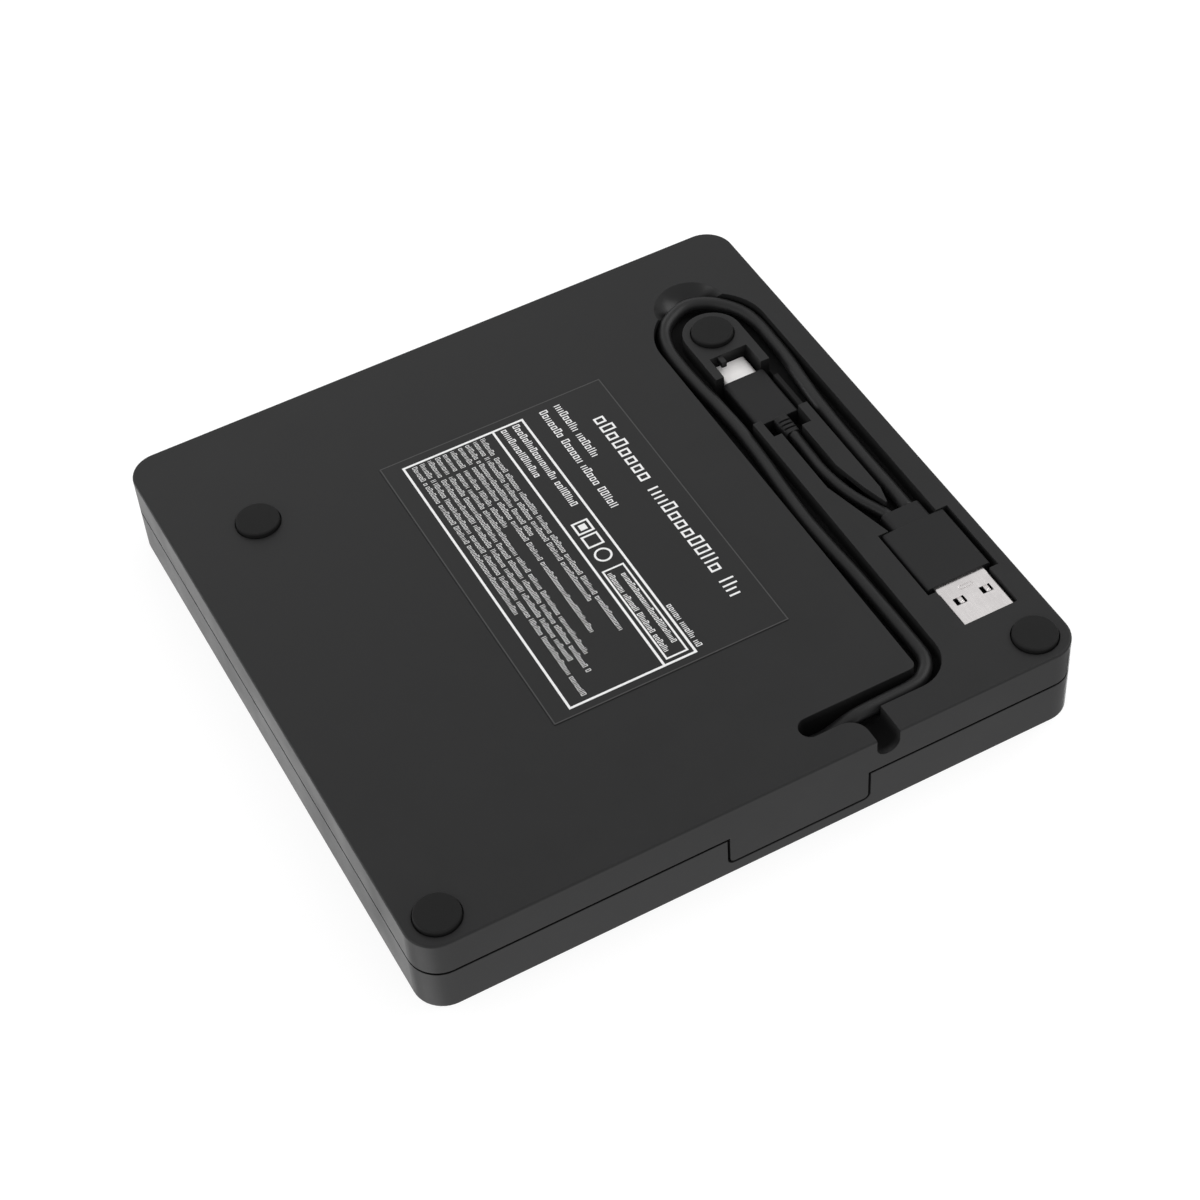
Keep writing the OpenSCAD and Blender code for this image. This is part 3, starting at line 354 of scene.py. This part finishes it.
GREY = (0.0130, 0.0130, 0.0133)
LOOKS = {
    "case_plastic": case_plastic("case_plastic_look", GREY),
    "foot_rubber": moulded("foot_rubber_look", (0.0042, 0.0042, 0.0042), 0.72, 0.0003, 0.00001, 0.25, 0.0002),
    "label_film": moulded("label_film_look", scaled(GREY, 0.95), 0.46, 0.0004, 0.000003, 0.25, 0, 0.03),
    "screw_steel": metal("screw_steel_look", (0.5, 0.5, 0.52), 0.35),
    "cord_jacket": moulded("cord_jacket_look", (0.0095, 0.0095, 0.0098), 0.45,
                           0.00035, 0.000008, 0.3, 0, 0.08),
    "wire_jacket": moulded("wire_jacket_look", (0.4, 0.03, 0.025), 0.4),
    "plug_mould": moulded("plug_mould_look", (0.009, 0.009, 0.0094), 0.52,
                          0.0003, 0.000008, 0.24, 0.00025, 0.05),
    "plug_shell": metal("plug_shell_look", (0.82, 0.79, 0.785), 0.24, (1, 0.08, 1), 0.000002, 0.0001),
    "plug_tongue": moulded("plug_tongue_look", (0.006, 0.006, 0.006), 0.55),
    "board_green": board("board_look"),
    "chip_black": moulded("chip_look", (0.012, 0.012, 0.013), 0.6),
    "crystal_can": metal("crystal_can_look", (0.6, 0.6, 0.6), 0.3),
    "connector_black": moulded("connector_look", (0.012, 0.012, 0.012), 0.45),
    "sheet_steel": metal("sheet_steel_look", (0.55, 0.56, 0.57), 0.34, (1, 0.05, 1)),
    "ribbon": moulded("ribbon_look", (0.35, 0.15, 0.03), 0.35),
    "rail_plastic": moulded("rail_look", (0.03, 0.03, 0.032), 0.35, soft=0.0002),
    "tray_plastic": moulded("tray_look", (0.014, 0.014, 0.0145), 0.5, 0.00025, 0.00001, 0.3, 0.0003),
    "bezel_plastic": moulded("bezel_look", GREY, 0.5, 0.00022, 0.000012, 0.24, 0.0003, 0.06),
    "button_plastic": moulded("button_look", scaled(GREY, 0.9), 0.36, 0.0003, 0.000004, 0.35, 0.0003),
    "light_pipe": moulded("light_pipe_look", (0.4, 0.45, 0.4), 0.2),
    "coil_copper": winding("winding_look"),
    "rod_steel": metal("rod_look", (0.75, 0.75, 0.76), 0.16),
    "motor_can": metal("motor_can_look", (0.55, 0.55, 0.56), 0.3),
    "rotor_black": moulded("rotor_look", (0.02, 0.02, 0.022), 0.25, 0.0004, 0.000003, 0.5, 0.0002),
    "pad_rubber": moulded("pad_look", (0.012, 0.012, 0.012), 0.7),
    "hub_plastic": moulded("hub_look", (0.03, 0.03, 0.032), 0.3, soft=0.0002),
    "claw_plastic": moulded("claw_look", (0.4, 0.4, 0.41), 0.35),
    "sled_cast": metal("sled_look", (0.32, 0.32, 0.33), 0.45, depth=0.00001),
    "lens_glass": lens_glass("lens_look"),
    "latch_plastic": moulded("latch_look", (0.55, 0.53, 0.46), 0.45),
}
INK = printed("ink_look", (0.84, 0.84, 0.84))
FAINT = printed("outline_look", (0.05, 0.05, 0.05))

slots = {s["node"]: s["material_slot"] for s in frame["record"]["subparts"]}
for name, ob in nodes.items():
    for i in range(max(1, len(ob.material_slots))):
        if not ob.material_slots:
            ob.data.materials.append(LOOKS[slots[name]])
        else:
            ob.material_slots[i].material = LOOKS[slots[name]]
for piece in (cord, lead):
    piece.data.materials.append(LOOKS["cord_jacket"])
# painted light: the small plug's shell gets a near-white colour and little metallic, so it shows evenly bright
# in place of the light a plated shell would reflect
painted_bright_shell = metal("small_shell_painted_light_look", (0.93, 0.91, 0.9), 0.5, (1, 0.08, 1), 0.000002, 0.0001, 0.25)
upper = case_plastic("top_cover_look", scaled(GREY, 1.3))
for node, look in (("usb_c_shell", painted_bright_shell), ("top_cover", upper)):
    for place in nodes[node].material_slots:
        place.material = look


# ---------------------------------------------------------------- label print

label_lo, label_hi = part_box("rating_label")
INK_THICK = 0.03 * MM
LABEL_SCALE = 1.0139    # from the layout's own millimetres to the label's
EDGE_IN = 0.1           # how far the outline stays inside the label's edge, in millimetres


def ink_object(name, quads, material, thick=INK_THICK):
    """Thin raised print; each quad is (x0, x1, y0, y1) in millimetres, or a list of outline points."""
    bm = bmesh.new()
    for q in quads:
        pts = q if hasattr(q[0], "__len__") else [(q[0], q[2]), (q[1], q[2]), (q[1], q[3]), (q[0], q[3])]
        low = [bm.verts.new((x * MM, y * MM, label_lo.z - thick)) for x, y in pts]
        top = [bm.verts.new((x * MM, y * MM, label_lo.z)) for x, y in pts]
        bm.faces.new(low[::-1])
        bm.faces.new(top)
        for i in range(len(pts)):
            j = (i + 1) % len(pts)
            bm.faces.new((low[i], low[j], top[j], top[i]))
    bmesh.ops.recalc_face_normals(bm, faces=bm.faces)
    me = bpy.data.meshes.new(name)
    bm.to_mesh(me)
    bm.free()
    me.materials.append(material)
    ob = link(bpy.data.objects.new(name, me))
    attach(ob, "case")
    return ob


def frame_quads(x0, x1, y0, y1, w):
    """The four sides of a rectangular line of width w."""
    return [(x0, x1, y0, y0 + w), (x0, x1, y1 - w, y1),
            (x0, x0 + w, y0 + w, y1 - w), (x1 - w, x1, y0 + w, y1 - w)]


def marks(x0, x1, y0, y1, seed, pitch, stroke, group=6):
    """Open boxes and paired strokes in place of a line of small print; the line runs along Y."""
    out = []
    y, k, n = y0, seed, 0
    body = x0 + 0.74 * (x1 - x0)
    while y + 0.7 * pitch <= y1:
        k = (k * 37 + 11) % 101
        w = 0.7 * pitch
        top = x1 if k % 7 < 2 else body
        if k % 5 < 3:
            out += frame_quads(x0, top, y, y + w, stroke)
        else:
            out += [(x0, top, y, y + stroke), (x0, top, y + w - stroke, y + w)]
        y += pitch
        n += 1
        if n % (group + k % 4) == 0:
            y += 0.7 * pitch
            n = 0
    return out


def ring(cx, cy, r, w, n=24):
    """A round line of width w, as quads between two circles."""
    turns = [2 * math.pi * i / n for i in range(n)]
    outer, inner = ([(cx + q * math.cos(a), cy + q * math.sin(a)) for a in turns] for q in (r, r - w))
    return [[outer[i], outer[(i + 1) % n], inner[(i + 1) % n], inner[i]] for i in range(n)]


def label_art():
    q = []
    q += frame_quads(-21.85, 6.5, -40, 35.1, 0.5)
    q += [(-1.0, -0.5, -39.5, 34.6)]
    q += frame_quads(0.25, 5.25, 7, 33.75, 0.4)
    return [tuple(v * LABEL_SCALE for v in r) for r in q]


def label_rows():
    q = []
    q += marks(19.1, 22.3, -32, 28, 5, 2.75, 0.44, 7)
    q += marks(13.8, 15.6, -39.75, -21.5, 8, 1.3, 0.24)
    q += marks(10.3, 12.1, -39.75, -6.5, 3, 1.3, 0.24, 5)
    q += marks(7.0, 8.3, 21.5, 34.5, 6, 0.95, 0.17, 5)
    q += marks(3.5, 5.1, -39, -11.75, 2, 1.15, 0.22)
    q += marks(0.8, 2.4, -39, -23, 9, 1.15, 0.22)
    starts = (-19.5, -17.75, -15.9, -14.15, -12.35, -10.65, -8.75, -7.1, -5.25, -3.6)
    ends = (9, 33.5, 24.75, 29, 24.25, -13.75, 21.25, -8.5, 13, 23)
    for i, (x, e) in enumerate(zip(starts, ends)):
        q += marks(x - 0.5, x + 0.6, -39, -33, 3 + 7 * i, 0.8, 0.115)
        q += marks(x - 0.5, x + 0.6, -32.5, e, 5 + 11 * i, 0.8, 0.115)
    q += marks(0.9, 2.1, 8.2, 32.6, 14, 0.85, 0.16)
    q += marks(3.3, 4.5, 9.5, 31, 21, 0.85, 0.16)
    for y in (-7.6, -3.4):
        q += frame_quads(0.9, 4.7, y, y + 3.6, 0.45)
    q += [(2.0, 3.6, -6.6, -5.0)]
    return [tuple(v * LABEL_SCALE for v in r) for r in q]


ink_object("label_lines", label_art(), INK)
mark = ring(*(v * LABEL_SCALE for v in (2.8, 3.0, 1.9)), 0.45)
ink_object("label_rows", label_rows() + mark, INK)
edge = [label_lo.x / MM + EDGE_IN, label_hi.x / MM - EDGE_IN,
        label_lo.y / MM + EDGE_IN, label_hi.y / MM - EDGE_IN]
ink_object("label_outline", frame_quads(*edge, 0.25), FAINT, 0.01 * MM)


# ---------------------------------------------------------------- stage and light

FLOOR_REACH = 4.0
FLOOR_COLOUR = (0.25, 0.25, 0.25, 1)
FLOOR_GLOW = 0.82       # stands in for the white studio's own light
WORLD_STRENGTH = 0.75


def stage_floor(name, z, up):
    """A floor that is seen from its own side only, so that the object stands or lies on it in every view."""
    bm = bmesh.new()
    r = FLOOR_REACH
    vs = [bm.verts.new((x, y, z)) for x, y in ((-r, -r), (r, -r), (r, r), (-r, r))]
    bm.faces.new(vs if up else vs[::-1])
    me = bpy.data.meshes.new(name)
    bm.to_mesh(me)
    bm.free()
    m = bpy.data.materials.new(name + "_look")
    m.use_nodes = True
    t = m.node_tree
    s = t.nodes["Principled BSDF"]
    s.inputs["Base Color"].default_value = FLOOR_COLOUR
    s.inputs["Emission Color"].default_value = (1, 1, 1, 1)
    s.inputs["Emission Strength"].default_value = FLOOR_GLOW
    s.inputs["Roughness"].default_value = 0.8
    s.inputs["Specular IOR Level"].default_value = 0.1
    clear = add(t, "ShaderNodeBsdfTransparent")
    side = add(t, "ShaderNodeNewGeometry")
    pick = add(t, "ShaderNodeMixShader")
    t.links.new(side.outputs["Backfacing"], pick.inputs[0])
    t.links.new(s.outputs[0], pick.inputs[1])
    t.links.new(clear.outputs[0], pick.inputs[2])
    t.links.new(pick.outputs[0], t.nodes["Material Output"].inputs["Surface"])
    me.materials.append(m)
    ob = link(bpy.data.objects.new(name, me))
    ob.visible_diffuse = False
    ob.visible_glossy = False
    ob.visible_transmission = False
    ob.visible_shadow = False


stage_floor("floor_under_feet", cad_box[0].z, True)
stage_floor("floor_under_lid", cad_box[1].z, False)

world = bpy.data.worlds.new("world")
world.use_nodes = True
world.node_tree.nodes["Background"].inputs["Color"].default_value = (1, 1, 1, 1)
world.node_tree.nodes["Background"].inputs["Strength"].default_value = WORLD_STRENGTH
scene.world = world


def area(name, place, side, watts):
    """A square soft light that points at the origin."""
    data = bpy.data.lights.new(name, "AREA")
    data.shape = "RECTANGLE"
    data.size = data.size_y = side
    data.energy = watts
    ob = link(bpy.data.objects.new(name, data))
    ob.location = place
    ob.rotation_euler = (-Vector(place)).to_track_quat("-Z", "Y").to_euler()


area("key_below", (0.75, 0.0, -0.7), 0.6, 3)
area("front_below", (0.05, -0.75, -0.4), 0.5, 0.7)
area("left_below", (-1.3, 0.15, -0.55), 0.5, 3.5)
area("rim_left", (-1.1, -0.85, -0.1), 0.6, 5)
area("key_above", (0.9, -0.6, 0.8), 0.7, 8)
area("front_above", (-0.3, -1.0, 1.2), 0.8, 2.8)
area("corner_above", (-0.75, 0.25, 1.1), 0.8, 3.2)
area("rear", (-0.1, 1.3, 0.5), 0.9, 5.3)
